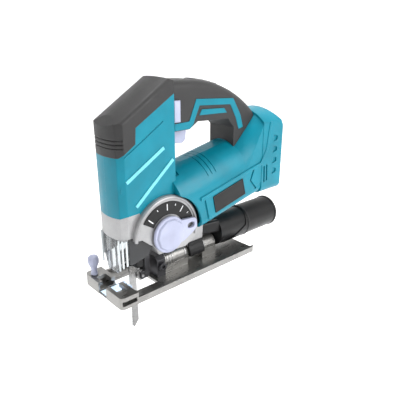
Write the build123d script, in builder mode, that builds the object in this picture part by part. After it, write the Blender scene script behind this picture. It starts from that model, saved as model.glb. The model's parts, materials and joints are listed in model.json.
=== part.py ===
from build123d import *
from math import cos, radians, sin
import os

os.makedirs("parts", exist_ok=True)

# Cordless jigsaw without its battery.  +X points to the rear, +Z up, and the left hand side,
# which carries the pendulum dial, faces -Y.  The origin lies on the underside of the sole, at
# the middle of its length, in the plane of the blade.  All sizes are in millimetres.

# ---------------------------------------------------------------- driving dimensions
# Sole
SOLE_L = 184.0
SOLE_W = 68.0
SOLE_T = 3.0
FLANGE_H = 6.5
FLANGE_T = 3.0
NOSE_BLOCK_L = 19.0
NOSE_BLOCK_H = 12.0
FENCE_SLOT_L = 15.5
FENCE_SLOT_H = 4.6
FENCE_SLOT_Z = 3.4
WINDOW_FRONT = -72.0
WINDOW_REAR = -39.0
WINDOW_W = 35.0
INSERT_W = 14.0
# Bevel pivot: a tube along X above the sole
PIVOT_Z = 15.0
PIVOT_R = 9.5
PIVOT_FRONT = -24.0
PIVOT_REAR = 51.0
RAIL_HALF = 9.0
SADDLE_FRONT = 9.5
SADDLE_REAR = 30.0
# Column (the front of the body) and its gear housing
COLUMN_FRONT = -80.0
COLUMN_REAR = -15.5
COLUMN_HALF = 21.0
COLUMN_FRONT_HALF = 17.0
WALL = 2.8
# Pendulum dial
DIAL_X = -30.0
DIAL_Z = 56.0
DIAL_R = 18.5
DIAL_RING_R = 38.5
DIAL_FACE_Y = -25.0
# Barrel (motor body), tilted up to the rear
BARREL_TILT = 12.0
BARREL_X = 14.0
BARREL_Z = 87.0
BARREL_W = 64.0
BARREL_H = 66.0
BARREL_CORNER = 7.0
BARREL_START = -29.0
BARREL_LENGTH = 124.0
# Battery mount at the rear
MOUNT_FRONT = 99.0
MOUNT_REAR = 132.5
MOUNT_HALF = 33.0
MOUNT_BOTTOM = 69.0
MOUNT_CROWN = 163.0
# Handle
HANDLE_HALF = 18.0
# Drive
BLADE_X = -57.0
STROKE = 20.0
MODULE = 0.8
PINION_TEETH = 9
GEAR_TEETH = 42
MOTOR_Z = 95.0
CENTRE_DISTANCE = MODULE * (PINION_TEETH + GEAR_TEETH) / 2 + 0.1
GEAR_Z = MOTOR_Z - CENTRE_DISTANCE
GEAR_FRONT = -46.0
GEAR_REAR = -40.0
CRANK_R = STROKE / 2
MOTOR_R = 18.0
MOTOR_FRONT = -14.0
MOTOR_REAR = 44.0
SHAFT_R = 2.0
# Play between two bodies, and in a running fit
GAP = 0.3
RUN = 0.05


# ---------------------------------------------------------------- helpers
def save(piece, name):
    piece.part.label = name
    export_step(piece.part, f"parts/{name}.step")


def prism_y(points, y_low, y_high):
    """Solid between two Y planes with an outline of straight lines in X and Z."""
    with BuildPart() as solid:
        with BuildSketch(Plane.XZ.offset(-y_low)):
            with BuildLine():
                Polyline(*points, close=True)
            make_face()
        extrude(amount=-(y_high - y_low))
    return solid.part


def block(x_low, x_high, y_low, y_high, z_low, z_high):
    with BuildPart() as solid:
        with BuildSketch(Plane.XY.offset(z_low)):
            with Locations(((x_low + x_high) / 2, (y_low + y_high) / 2)):
                Rectangle(x_high - x_low, y_high - y_low)
        extrude(amount=z_high - z_low)
    return solid.part


def rod_x(radius, x_low, x_high, y, z):
    with BuildPart() as solid:
        with BuildSketch(Plane.YZ.offset(x_low)):
            with Locations((y, z)):
                Circle(radius)
        extrude(amount=x_high - x_low)
    return solid.part


def rod_y(radius, y_low, y_high, x, z):
    with BuildPart() as solid:
        with BuildSketch(Plane.XZ.offset(-y_low)):
            with Locations((x, z)):
                Circle(radius)
        extrude(amount=-(y_high - y_low))
    return solid.part


def rod_z(radius, z_low, z_high, x, y):
    with BuildPart() as solid:
        with BuildSketch(Plane.XY.offset(z_low)):
            with Locations((x, y)):
                Circle(radius)
        extrude(amount=z_high - z_low)
    return solid.part


def gear_outline(teeth, first_tooth, centre_z):
    """Outline of a spur gear in a YZ plane, with one tooth's middle at the given angle."""
    tip = MODULE * (teeth / 2 + 1)
    root = MODULE * (teeth / 2 - 1.25)
    pitch = 360 / teeth
    points = []
    for tooth in range(teeth):
        for share, radius in ((-0.31, root), (-0.12, tip), (0.12, tip), (0.31, root)):
            angle = radians(first_tooth + (tooth + share) * pitch)
            points.append((radius * cos(angle), centre_z + radius * sin(angle)))
    return points


# ---------------------------------------------------------------- outer forms of the body
def column_form(inset, z_low, z_high):
    """Front column: its plan has a bowed front face between two angled corners."""
    half = COLUMN_HALF - inset
    front_half = COLUMN_FRONT_HALF - inset
    front = COLUMN_FRONT + inset
    with BuildPart() as form:
        with BuildSketch(Plane.XY.offset(z_low)) as plan:
            with BuildLine():
                ThreePointArc((front + 2.5, -front_half), (front, 0), (front + 2.5, front_half))
                Polyline((front + 2.5, front_half), (front + 8.5, half), (COLUMN_REAR - inset, half),
                         (COLUMN_REAR - inset, -half), (front + 8.5, -half), (front + 2.5, -front_half))
            make_face()
            fillet(plan.vertices().group_by(Axis.X)[0:2], radius=2.5)
        extrude(amount=z_high - z_low)
    return form.part


def barrel_plane(distance):
    """Plane square to the barrel's axis, a distance along it from the dial end."""
    tilt = radians(BARREL_TILT)
    return Plane(origin=(BARREL_X + distance * cos(tilt), 0, BARREL_Z + distance * sin(tilt)),
                 x_dir=(0, 1, 0), z_dir=(cos(tilt), 0, sin(tilt)))


def barrel_form(inset, start, length):
    """Barrel: half round above its axis, flat sided below it."""
    half = BARREL_W / 2 - inset
    rise = BARREL_H / 2 - inset
    with BuildPart() as form:
        with BuildSketch(barrel_plane(start)) as section:
            with BuildLine():
                ThreePointArc((half, 0), (0, rise), (-half, 0))
                Polyline((-half, 0), (-half, -rise), (half, -rise), (half, 0))
            make_face()
            fillet(section.vertices().group_by(Axis.Z)[0], radius=BARREL_CORNER - inset / 2)
        extrude(amount=length)
    return form.part


def mount_form(inset):
    """Battery mount: a block with an arched top and a chamfered rear shoulder."""
    half = MOUNT_HALF - inset
    with BuildPart() as form:
        with BuildSketch(Plane.YZ.offset(MOUNT_FRONT + inset)) as section:
            with BuildLine():
                Polyline((half, 150), (half, MOUNT_BOTTOM + inset), (-half, MOUNT_BOTTOM + inset), (-half, 150))
                ThreePointArc((-half, 150), (0, MOUNT_CROWN - inset), (half, 150))
            make_face()
            fillet(section.vertices().group_by(Axis.Y)[0], radius=8 - inset)
        extrude(amount=MOUNT_REAR - MOUNT_FRONT - 2 * inset)
        add(prism_y([(MOUNT_FRONT - 1, 60), (MOUNT_REAR + 1, 60), (MOUNT_REAR + 1, 142 - inset),
                     (118 - inset, 170), (MOUNT_FRONT - 1, 170)], -40, 40), mode=Mode.INTERSECT)
    return form.part


def flare_form():
    """Flared transition from the barrel's round back to the taller battery mount."""
    half = BARREL_W / 2
    rise = BARREL_H / 2
    with BuildPart() as form:
        with BuildSketch(barrel_plane(62)):
            with BuildLine():
                ThreePointArc((half, 0), (0, rise), (-half, 0))
                Polyline((-half, 0), (-half, -rise + 8), (half, -rise + 8), (half, 0))
            make_face()
        with BuildSketch(Plane.YZ.offset(MOUNT_FRONT + 1)):
            with BuildLine():
                ThreePointArc((MOUNT_HALF - 0.5, 149), (0, MOUNT_CROWN - 1), (-MOUNT_HALF + 0.5, 149))
                Polyline((-MOUNT_HALF + 0.5, 149), (-MOUNT_HALF + 0.5, 84), (MOUNT_HALF - 0.5, 84),
                         (MOUNT_HALF - 0.5, 149))
            make_face()
        loft()
        add(handle_form(HANDLE_HALF, 0), mode=Mode.SUBTRACT)
    return form.part


def barrel_groove(distance):
    """Thin groove over the barrel's round back."""
    with BuildPart() as groove:
        add(barrel_form(-1, distance, 0.9))
        add(barrel_form(0.7, distance - 1, 3), mode=Mode.SUBTRACT)
        add(prism_y([(-30, 94), (110, 124), (110, 160), (-30, 160)], -50, 50), mode=Mode.INTERSECT)
    return groove.part


HANDLE_UNDER = [(-26, 152.5), (5.5, 152.5), (16, 159), (58, 157), (67, 147), (67, 120)]


def handle_form(half, inset, edge_radius=0):
    """Handle loop from the column to the barrel, with an arched back."""
    with BuildPart() as form:
        with BuildSketch(Plane.XZ):
            with BuildLine():
                back = Line((-26, 199.9), (10, 198.5))
                shoulder = TangentArc(back @ 1, (95, 166), tangent=back % 1)
                TangentArc(shoulder @ 1, (113.5, 132), tangent=shoulder % 1)
                Polyline((113.5, 132), (113.5, 120), *reversed(HANDLE_UNDER), (-26, 199.9))
            make_face()
            if inset:
                offset(amount=-inset)
        extrude(amount=half, both=True)
        if edge_radius:
            edges = [edge for edge in form.edges()
                     if abs(edge.center().Y) > half - 0.5 and edge.length > 20
                     and (edge.center().Z > 185 or edge.center().X > 97)]
            fillet(edges, radius=edge_radius)
        add(block(COLUMN_REAR, 130, -40, 40, 100, 210), mode=Mode.INTERSECT)
    return form.part


# Side outline of the rubber cap: its outer edge, then the line where it meets the teal shells.
CAP_OUTER = [(-82, 137), (-81.5, 162.5), (-72, 172), (-24, 202.5), (-15.5, 199)]
CAP_INNER = [(-15.5, 188), (-58.5, 162), (-59.5, 148), (-75.5, 137.5)]
TEAL_COLUMN = [(-82, 74), (-82, 137)] + CAP_INNER[::-1] + [(COLUMN_REAR, 206), (0, 206), (0, 74)]
# Lower edge of the teal shells on the column, in front of the dial ring.
SILVER_EDGE = [(-82, 80), (-72, 83), (-58.5, 83.5)]
# Underside of the gear housing, from its nose to its rear.
NOSE_UNDER = [(-82, 60), (-60, 58), (-47, 47), (-41, 37), (-8, 35.5), (0, 39), (9, 46)]

with BuildPart() as finger_form:
    with BuildSketch(Plane.XZ) as finger_side:
        with BuildLine():
            Polyline((COLUMN_REAR, 124), (COLUMN_REAR, 152.5), (5.5, 152.5), (16, 159), (58, 157),
                     (67, 147), (67, 131), (30, 123.5), (5, 118.5), (-9, 118.5), close=True)
        make_face()
        fillet(finger_side.vertices().group_by(Axis.Y)[0], radius=4)
    extrude(amount=45, both=True)
finger_hole = finger_form.part


# ---------------------------------------------------------------- teal shells
def hollow_form():
    """Space inside the shells, one wall thickness in from the outside."""
    with BuildPart() as hollow:
        add(column_form(WALL, 76, 190))
        add(prism_y([(-82, 70), (-82, 131), (-57, 145), (-54.5, 158), (-18.5, 180), (-18.5, 70)], -40, 40),
            mode=Mode.INTERSECT)
        add(barrel_form(WALL, BARREL_START + 2, BARREL_LENGTH - 16))
        add(block(MOUNT_FRONT, MOUNT_REAR - 9, -MOUNT_HALF + WALL, MOUNT_HALF - WALL, 74, 140))
        # opening between the column and the barrel, for the front of the motor
        add(block(-19, -9, -COLUMN_HALF + WALL, COLUMN_HALF - WALL, 76.5, MOTOR_Z + MOTOR_R + GAP))
    return hollow.part


def motor_rib(x_low, x_high):
    """Wall across the barrel with a seat for the motor."""
    with BuildPart() as rib:
        add(barrel_form(WALL / 2, BARREL_START + 2, BARREL_LENGTH - 16))
        add(block(x_low, x_high, -34, 34, 50, 140), mode=Mode.INTERSECT)
        add(rod_x(MOTOR_R, x_low - 1, x_high + 1, 0, MOTOR_Z), mode=Mode.SUBTRACT)
    return rib.part


def rim_bar(side):
    """Raised bar along the side of the barrel that turns up at the battery mount."""
    with BuildPart() as bar:
        with BuildSketch(Plane.XZ.offset(-side * (BARREL_W / 2 - 1))):
            with BuildLine():
                Polyline((7, 84), (97, 105), (106, 119), (111, 150))
            trace(line_width=3.4)
        extrude(amount=-side * 2.6)
    return bar.part


def side_grooves(side):
    """Shallow decorative grooves and vents on one side of the shells."""
    column_side = COLUMN_HALF - 0.8
    barrel_side = BARREL_W / 2 - 1.4
    mount_side = MOUNT_HALF - 1.5
    lines = (
        (column_side, 0.7, [(-78, 134.5), (-61, 144.5), (-29, 164.5)]),
        (barrel_side, 1.6, [(12.5, 81.5), (18.5, 57)]),
        (barrel_side, 1.1, [(86, 100), (81, 88), (91, 77)]),
        (mount_side, 1.2, [(102.5, 101), (103.5, 82)]),
        (mount_side, 1.2, [(107, 102), (108, 83)]),
    )
    with BuildPart() as grooves:
        for reach, half_width, points in lines:
            with BuildSketch(Plane.XZ.offset(-side * reach)):
                with BuildLine():
                    Polyline(*points)
                trace(line_width=2 * half_width)
            extrude(amount=-side * 4)
        for step in range(4):
            z = 89 + 12.5 * step
            with BuildSketch(Plane.XZ.offset(-side * mount_side)):
                with BuildLine():
                    Polyline((117, z), (124, z + 2), (124, z + 6), (117, z + 8), close=True)
                make_face()
            extrude(amount=-side * 4)
    return grooves.part


# Screw bosses: places (X, Z) of the screws that hold the two shells together, and the
# half width of the body there.
SCREW_PLACES = (
    (-71.0, 108.0, COLUMN_HALF),
    (-40.0, 136.0, COLUMN_HALF),
    (72.0, 83.0, BARREL_W / 2),
    (113.2, 80.0, MOUNT_HALF),
    (113.2, 128.0, MOUNT_HALF),
)
SCREW_R = 1.6
SCREW_HEAD_R = 3.4
SCREW_HEAD_DEPTH = 3.0


def shell_screws():
    """The screws of the right hand shell, as one shape, with their heads sunk in the side."""
    with BuildPart() as screws:
        for x, z, half in SCREW_PLACES:
            seat = half - SCREW_HEAD_DEPTH
            add(rod_y(SCREW_R, -8, seat, x, z))
            add(rod_y(SCREW_HEAD_R, seat, half - 0.8, x, z))
    return screws.part


button_bay = block(COLUMN_REAR, -6.6, -25, 25, 160.6, 181.4)
trigger_bay = block(-9.6, 10.6, -7.3, 7.3, 150, 164)
bays = (
    rod_y(DIAL_RING_R + 0.2, -40, DIAL_FACE_Y + 0.5, DIAL_X, DIAL_Z),
    rod_y(DIAL_RING_R, -24.5, 24, DIAL_X, DIAL_Z),
    prism_y([(-82, 30)] + SILVER_EDGE + [(-58.5, 76), (DIAL_X, 76), (DIAL_X, 30)], -40, 40),
    block(-82, -8, -40, 40, 30, 74),
    block(-10, 40, -10, 10, 160, 182),
    trigger_bay,
    button_bay,
)
# Battery rails: a channel in the rear face with an undercut on each side.
rail_channel = (
    block(MOUNT_REAR - 7, MOUNT_REAR + 1, -24, 24, 60, 138),
    block(MOUNT_REAR - 7, MOUNT_REAR - 3.5, -28, 28, 60, 138),
)

with BuildPart() as shell_form:
    add(column_form(0, 74, 206))
    add(prism_y(TEAL_COLUMN, -40, 40), mode=Mode.INTERSECT)
    add(barrel_form(0, BARREL_START, BARREL_LENGTH))
    add(mount_form(0))
    add(flare_form())
    add(handle_form(HANDLE_HALF - 4, 4))
    add(finger_hole, mode=Mode.SUBTRACT)
    add(hollow_form(), mode=Mode.SUBTRACT)
    add(motor_rib(-11, -8))
    add(motor_rib(35, 38))
    for x, z, half in SCREW_PLACES:
        add(rod_y(4.8, -half + 2, half - 2, x, z))
        add(rod_y(SCREW_HEAD_R, half - 1.5, half + 1, x, z), mode=Mode.SUBTRACT)
    add(shell_screws(), mode=Mode.SUBTRACT)
    for bay in bays:
        add(bay, mode=Mode.SUBTRACT)
    for cut in rail_channel:
        add(cut, mode=Mode.SUBTRACT)
    for distance in (10, 15.5, 21):
        add(barrel_groove(distance), mode=Mode.SUBTRACT)
    for side in (-1, 1):
        add(rim_bar(side))
        add(side_grooves(side), mode=Mode.SUBTRACT)
shell = shell_form.part

with BuildPart() as left_housing:
    add(shell)
    add(block(-90, 140, -45, 0, 20, 220), mode=Mode.INTERSECT)
with BuildPart() as right_housing:
    add(shell)
    add(block(-90, 140, 0, 45, 20, 220), mode=Mode.INTERSECT)
save(left_housing, "left_housing")
save(right_housing, "right_housing")

with BuildPart() as housing_screws:
    add(shell_screws())
    for x, z, half in SCREW_PLACES:
        add(block(x - 2.4, x + 2.4, half - 2, half, z - 0.5, z + 0.5), mode=Mode.SUBTRACT)
        add(block(x - 0.5, x + 0.5, half - 2, half, z - 2.4, z + 2.4), mode=Mode.SUBTRACT)
save(housing_screws, "housing_screws")

# ---------------------------------------------------------------- rubber cap and grip
ROOF_TILT = 32.4


def roof_form():
    """Long bar along the cap's sloping roof, with a crowned top and rounded shoulders."""
    tilt = radians(ROOF_TILT)
    roof_plane = Plane(origin=(-24, 0, 202.5), x_dir=(0, 1, 0), z_dir=(cos(tilt), 0, sin(tilt)))
    with BuildPart() as form:
        with BuildSketch(roof_plane) as section:
            with BuildLine():
                ThreePointArc((-COLUMN_HALF, -3.5), (0, 0), (COLUMN_HALF, -3.5))
                Polyline((COLUMN_HALF, -3.5), (COLUMN_HALF, -80), (-COLUMN_HALF, -80), (-COLUMN_HALF, -3.5))
            make_face()
            fillet(section.vertices().group_by(Axis.Z)[-1], radius=4.5)
        extrude(amount=120, both=True)
    return form.part


with BuildPart() as front_cap:
    add(column_form(0, 130, 206))
    add(prism_y(CAP_OUTER + CAP_INNER, -40, 40), mode=Mode.INTERSECT)
    add(roof_form(), mode=Mode.INTERSECT)
    for z in (145, 148.5, 152):
        add(column_form(-1, z, z + 0.9) - column_form(0.7, z - 1, z + 2)
            - block(-72, 0, -40, 40, 130, 206), mode=Mode.SUBTRACT)
save(front_cap, "front_cap")

# Teal band on each side of the handle, and the bar inside it.
BAND_OUTLINE = [(-13, 153), (5.6, 153), (10, 157), (18, 174), (61, 171.5), (69, 158), (74.5, 144.5),
                (81, 146), (76.5, 159.5), (65, 177.4), (14, 180.5), (5, 160.2), (-13, 159.4)]
BAR_OUTLINE = [(21, 170), (52, 168.6), (56, 163.6), (18, 164.6)]
BAND_IN = 1.6


def handle_band(side, reach):
    """Band and bar on one side of the handle, from the bottom of their pocket outwards."""
    bottom = side * (HANDLE_HALF - BAND_IN)
    top = side * (HANDLE_HALF + reach)
    with BuildPart() as band:
        for outline in (BAND_OUTLINE, BAR_OUTLINE):
            add(prism_y(outline, min(bottom, top), max(bottom, top)))
    return band.part


with BuildPart() as handle_grip:
    add(handle_form(HANDLE_HALF, 0, 8))
    add(handle_form(HANDLE_HALF - 4, 4), mode=Mode.SUBTRACT)
    add(barrel_form(0, BARREL_START, BARREL_LENGTH), mode=Mode.SUBTRACT)
    add(mount_form(0), mode=Mode.SUBTRACT)
    for side in (-1, 1):
        add(rim_bar(side), mode=Mode.SUBTRACT)
        add(handle_band(side, 3), mode=Mode.SUBTRACT)
    for cut in (finger_hole, button_bay, trigger_bay):
        add(cut, mode=Mode.SUBTRACT)
save(handle_grip, "handle_grip")
for side, name in ((-1, "handle_frame_left"), (1, "handle_frame_right")):
    with BuildPart() as handle_frame:
        add(handle_band(side, 0.4))
        add(block(COLUMN_REAR, 90, -40, 40, 140, 190), mode=Mode.INTERSECT)
        for cut in (finger_hole, button_bay, trigger_bay):
            add(cut, mode=Mode.SUBTRACT)
    save(handle_frame, name)

# Slanted trim stripes on both sides of the column, and a blank plate on both sides of the barrel.
STRIPES = ([(-71, 115), (-29, 140.4)], [(-62, 90.4), (-46, 104.4), (-18.5, 127.8)])
PLATE_OUTLINE = [(24, 83), (68, 93.5), (73, 75), (28, 64.5)]
with BuildPart() as accent_stripes:
    for side in (-1, 1):
        for points in STRIPES:
            with BuildSketch(Plane.XZ.offset(-side * COLUMN_HALF)):
                with BuildLine():
                    Polyline(*points)
                trace(line_width=3.2)
            extrude(amount=-side * 0.8)
save(accent_stripes, "accent_stripes")
with BuildPart() as side_plates:
    for low in (-BARREL_W / 2 - 0.8, BARREL_W / 2):
        add(prism_y(PLATE_OUTLINE, low, low + 0.8))
save(side_plates, "side_plates")

# ---------------------------------------------------------------- gear housing
ROD_R = 4.5
BUSH_R = 7.5
LOWER_BUSH = (51.0, 57.5)
UPPER_BUSH = (104.0, 118.0)
BEARING_R = 6.0
BEARING_L = 4.0
FRONT_BEARING_X = -33.0
GEAR_SHAFT_R = 3.0
ROCKER_X = -39.0
ROCKER_Z = 46.0
ROCKER_PIN_R = 1.5
DIAL_SHAFT_R = 4.0
GEAR_CASE_HALF = 17.9
RIGHT_RING_Y = 24.0
GEAR_SCREWS = ((-53.5, 76.0), (-51.0, 59.0), (-22.0, 88.0))


def gear_screw_shapes():
    with BuildPart() as screws:
        for x, z in GEAR_SCREWS:
            add(rod_y(3.4, RIGHT_RING_Y - 2.6, RIGHT_RING_Y, x, z))
            add(rod_y(1.5, RIGHT_RING_Y - 4.5, RIGHT_RING_Y - 2.6, x, z))
    return screws.part


with BuildPart() as gear_housing:
    # nose under the teal shells, and the round ring behind the dial
    add(column_form(0, 56, 86))
    add(prism_y([(-82, 56)] + SILVER_EDGE + [(-58.5, 56)], -40, 40), mode=Mode.INTERSECT)
    add(rod_y(DIAL_RING_R, DIAL_FACE_Y, RIGHT_RING_Y, DIAL_X, DIAL_Z))
    add(prism_y(NOSE_UNDER + [(12, 120), (-82, 120)], -40, 40), mode=Mode.INTERSECT)
    # gear case inside the shells, and the boss of the lower bush
    add(block(-66, -28.3, -GEAR_CASE_HALF, GEAR_CASE_HALF, 80, 122))
    add(rod_z(BUSH_R + 1.5, 50.6, 60, BLADE_X, 0))
    # spaces of the gear, the pinion, the yoke and the fan
    add(rod_x(GEAR_TEETH * MODULE / 2 + 1.2, -47.5, -37.5, 0, GEAR_Z), mode=Mode.SUBTRACT)
    add(rod_x(5.2, -48, FRONT_BEARING_X, 0, MOTOR_Z), mode=Mode.SUBTRACT)
    add(block(-63.5, -46, -16.3, 16.3, 57.7, 91.3), mode=Mode.SUBTRACT)
    add(rod_x(16.2, -28, -17, 0, MOTOR_Z), mode=Mode.SUBTRACT)
    add(rod_x(MOTOR_R, -17, 12, 0, MOTOR_Z), mode=Mode.SUBTRACT)
    add(block(-29, 2, -19.5, 19.5, 44, 80), mode=Mode.SUBTRACT)
    # seats and bores
    add(rod_x(BEARING_R, FRONT_BEARING_X, FRONT_BEARING_X + BEARING_L, 0, MOTOR_Z), mode=Mode.SUBTRACT)
    add(rod_x(SHAFT_R + 1, -34, -25, 0, MOTOR_Z), mode=Mode.SUBTRACT)
    add(rod_x(GEAR_SHAFT_R, -38, -30, 0, GEAR_Z), mode=Mode.SUBTRACT)
    add(rod_z(BUSH_R, 50, 58, BLADE_X, 0), mode=Mode.SUBTRACT)
    add(rod_z(BUSH_R, UPPER_BUSH[0], UPPER_BUSH[1], BLADE_X, 0), mode=Mode.SUBTRACT)
    add(rod_z(ROD_R + 0.6, 90, 130, BLADE_X, 0), mode=Mode.SUBTRACT)
    add(rod_y(DIAL_SHAFT_R + RUN, DIAL_FACE_Y - 1, -12, DIAL_X, DIAL_Z), mode=Mode.SUBTRACT)
    add(block(-47.5, -34, -6, 6, 30, 54), mode=Mode.SUBTRACT)
    add(rod_y(ROCKER_PIN_R, -9, 9, ROCKER_X, ROCKER_Z), mode=Mode.SUBTRACT)
    add(gear_screw_shapes(), mode=Mode.SUBTRACT)
save(gear_housing, "gear_housing")

with BuildPart() as gear_housing_screws:
    add(gear_screw_shapes())
    for x, z in GEAR_SCREWS:
        with BuildSketch(Plane.XZ.offset(-RIGHT_RING_Y)):
            with Locations((x, z)):
                RegularPolygon(radius=1.7, side_count=6)
        extrude(amount=1.4, mode=Mode.SUBTRACT)
save(gear_housing_screws, "gear_housing_screws")

SCALE_START = 10
SCALE_END = 148
SCALE_INNER_R = 20.0
SCALE_OUTER_R = 33.0
with BuildPart() as dial_scale_plate:
    with BuildSketch(Plane(origin=(DIAL_X, DIAL_FACE_Y, DIAL_Z), x_dir=(1, 0, 0), z_dir=(0, -1, 0))):
        with BuildLine():
            sweep_angle = SCALE_END - SCALE_START
            outer = CenterArc((0, 0), SCALE_OUTER_R, SCALE_START, sweep_angle)
            inner = CenterArc((0, 0), SCALE_INNER_R, SCALE_START, sweep_angle)
            Line(outer @ 0, inner @ 0)
            Line(outer @ 1, inner @ 1)
        make_face()
    extrude(amount=0.8)
save(dial_scale_plate, "dial_scale_plate")

with BuildPart() as plunger_bushes:
    for low, high in (LOWER_BUSH, UPPER_BUSH):
        add(rod_z(BUSH_R, low, high, BLADE_X, 0))
        add(rod_z(ROD_R + RUN, low, high, BLADE_X, 0), mode=Mode.SUBTRACT)
save(plunger_bushes, "plunger_bushes")

with BuildPart() as gear_shaft:
    add(rod_x(GEAR_SHAFT_R, GEAR_FRONT, -30, 0, GEAR_Z))
save(gear_shaft, "gear_shaft")

with BuildPart() as rocker_pin:
    add(rod_y(ROCKER_PIN_R, -9, 9, ROCKER_X, ROCKER_Z))
save(rocker_pin, "rocker_pin")

# ---------------------------------------------------------------- motor
CAN_WALL = 2.5
CAN_END = 4.0
with BuildPart() as motor_can:
    add(rod_x(MOTOR_R, MOTOR_FRONT, MOTOR_REAR, 0, MOTOR_Z))
    add(rod_x(MOTOR_R - CAN_WALL, MOTOR_FRONT + CAN_END, MOTOR_REAR - CAN_END, 0, MOTOR_Z),
        mode=Mode.SUBTRACT)
    add(rod_x(BEARING_R, MOTOR_FRONT, MOTOR_REAR, 0, MOTOR_Z), mode=Mode.SUBTRACT)
save(motor_can, "motor_can")

with BuildPart() as shaft_bearings:
    for x in (FRONT_BEARING_X, MOTOR_FRONT, MOTOR_REAR - BEARING_L):
        add(rod_x(BEARING_R, x, x + BEARING_L, 0, MOTOR_Z))
        add(rod_x(SHAFT_R + RUN, x, x + BEARING_L, 0, MOTOR_Z), mode=Mode.SUBTRACT)
save(shaft_bearings, "shaft_bearings")

with BuildPart() as armature:
    add(rod_x(SHAFT_R, -47, 46, 0, MOTOR_Z))
    with BuildSketch(Plane.YZ.offset(-6)) as lamination:
        with Locations((0, MOTOR_Z)):
            Circle(13)
            with PolarLocations(12.4, 9):
                Rectangle(4, 1.6, mode=Mode.SUBTRACT)
    extrude(amount=30)
    add(rod_x(6, 26, 36, 0, MOTOR_Z))
save(armature, "armature")

with BuildPart() as cooling_fan:
    add(rod_x(14.6, -26.6, -25.4, 0, MOTOR_Z))
    add(rod_x(5, -26.6, -19, 0, MOTOR_Z))
    with BuildSketch(Plane.YZ.offset(-25.4)):
        with Locations((0, MOTOR_Z)):
            with PolarLocations(9.2, 11):
                Rectangle(9.6, 1.2, rotation=18)
    extrude(amount=5.4)
    add(rod_x(SHAFT_R, -30, -15, 0, MOTOR_Z), mode=Mode.SUBTRACT)
save(cooling_fan, "cooling_fan")

with BuildPart() as pinion:
    with BuildSketch(Plane.YZ.offset(GEAR_FRONT - 0.5)):
        with BuildLine():
            Polyline(*gear_outline(PINION_TEETH, -90, MOTOR_Z), close=True)
        make_face()
    extrude(amount=GEAR_REAR - GEAR_FRONT + 1)
    add(rod_x(SHAFT_R, -50, -35, 0, MOTOR_Z), mode=Mode.SUBTRACT)
save(pinion, "pinion")

# ---------------------------------------------------------------- crank gear and plunger
CRANK_PIN_R = 2.2
with BuildPart() as large_gear:
    with BuildSketch(Plane.YZ.offset(GEAR_FRONT)):
        with BuildLine():
            Polyline(*gear_outline(GEAR_TEETH, 90 + 180 / GEAR_TEETH, GEAR_Z), close=True)
        make_face()
        with Locations((0, GEAR_Z)):
            with PolarLocations(9.5, 5, start_angle=150, angular_range=240, endpoint=True):
                Circle(2.4, mode=Mode.SUBTRACT)
    extrude(amount=GEAR_REAR - GEAR_FRONT)
    add(rod_x(GEAR_SHAFT_R + RUN, -50, -35, 0, GEAR_Z), mode=Mode.SUBTRACT)
    add(rod_x(CRANK_PIN_R, -50, -35, 0, GEAR_Z + CRANK_R), mode=Mode.SUBTRACT)
save(large_gear, "large_gear")
with BuildPart() as crank_pin:
    add(rod_x(CRANK_PIN_R, -51.6, GEAR_REAR, 0, GEAR_Z + CRANK_R))
save(crank_pin, "crank_pin")
with BuildPart() as crank_roller:
    add(rod_x(4.4, -51.6, GEAR_FRONT - GAP, 0, GEAR_Z + CRANK_R))
    add(rod_x(CRANK_PIN_R + RUN, -55, -45, 0, GEAR_Z + CRANK_R), mode=Mode.SUBTRACT)
save(crank_roller, "crank_roller")

YOKE_FRONT = -62.0
YOKE_REAR = -52.0
YOKE_HALF = 15.8
YOKE_HALF_H = 6.5
YOKE_SLOT_HALF_H = 4.5
CLAMP_R = 7.0
CLAMP_Z = (24.0, 39.0)
with BuildPart() as plunger_rod:
    add(rod_z(ROD_R, CLAMP_Z[1], 128, BLADE_X, 0))
    add(block(YOKE_FRONT, YOKE_REAR, -YOKE_HALF, YOKE_HALF, GEAR_Z - YOKE_HALF_H, GEAR_Z + YOKE_HALF_H))
    add(block(YOKE_FRONT + 2, YOKE_REAR + 1, -14.6, 14.6,
              GEAR_Z - YOKE_SLOT_HALF_H, GEAR_Z + YOKE_SLOT_HALF_H), mode=Mode.SUBTRACT)
    chamfer(plunger_rod.edges().group_by(Axis.Z)[-1], length=0.6)
save(plunger_rod, "plunger_rod")

BLADE_W = 8.0
BLADE_T = 1.2
BLADE_TOP = 34.0
BLADE_TIP = -51.0
TOOTH_PITCH = 3.0
blade_front = BLADE_X - BLADE_W / 2
blade_rear = BLADE_X + BLADE_W / 2
with BuildPart() as blade_clamp:
    add(rod_z(CLAMP_R, CLAMP_Z[0], CLAMP_Z[1], BLADE_X, 0))
    add(block(blade_front, blade_rear, -BLADE_T / 2, BLADE_T / 2, CLAMP_Z[0] - 1, BLADE_TOP),
        mode=Mode.SUBTRACT)
save(blade_clamp, "blade_clamp")

blade_points = [(blade_rear, BLADE_TOP), (blade_front, BLADE_TOP), (blade_front, -5)]
for tooth in range(14):
    z = -5 - TOOTH_PITCH * tooth
    blade_points.append((blade_front + 1.6, z - TOOTH_PITCH + 0.4))
    blade_points.append((blade_front, z - TOOTH_PITCH))
blade_points.append((BLADE_X - 1.5, BLADE_TIP))
blade_points.append((blade_rear, BLADE_TIP + 7))
with BuildPart() as saw_blade:
    add(prism_y(blade_points, -BLADE_T / 2, BLADE_T / 2))
save(saw_blade, "saw_blade")

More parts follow.
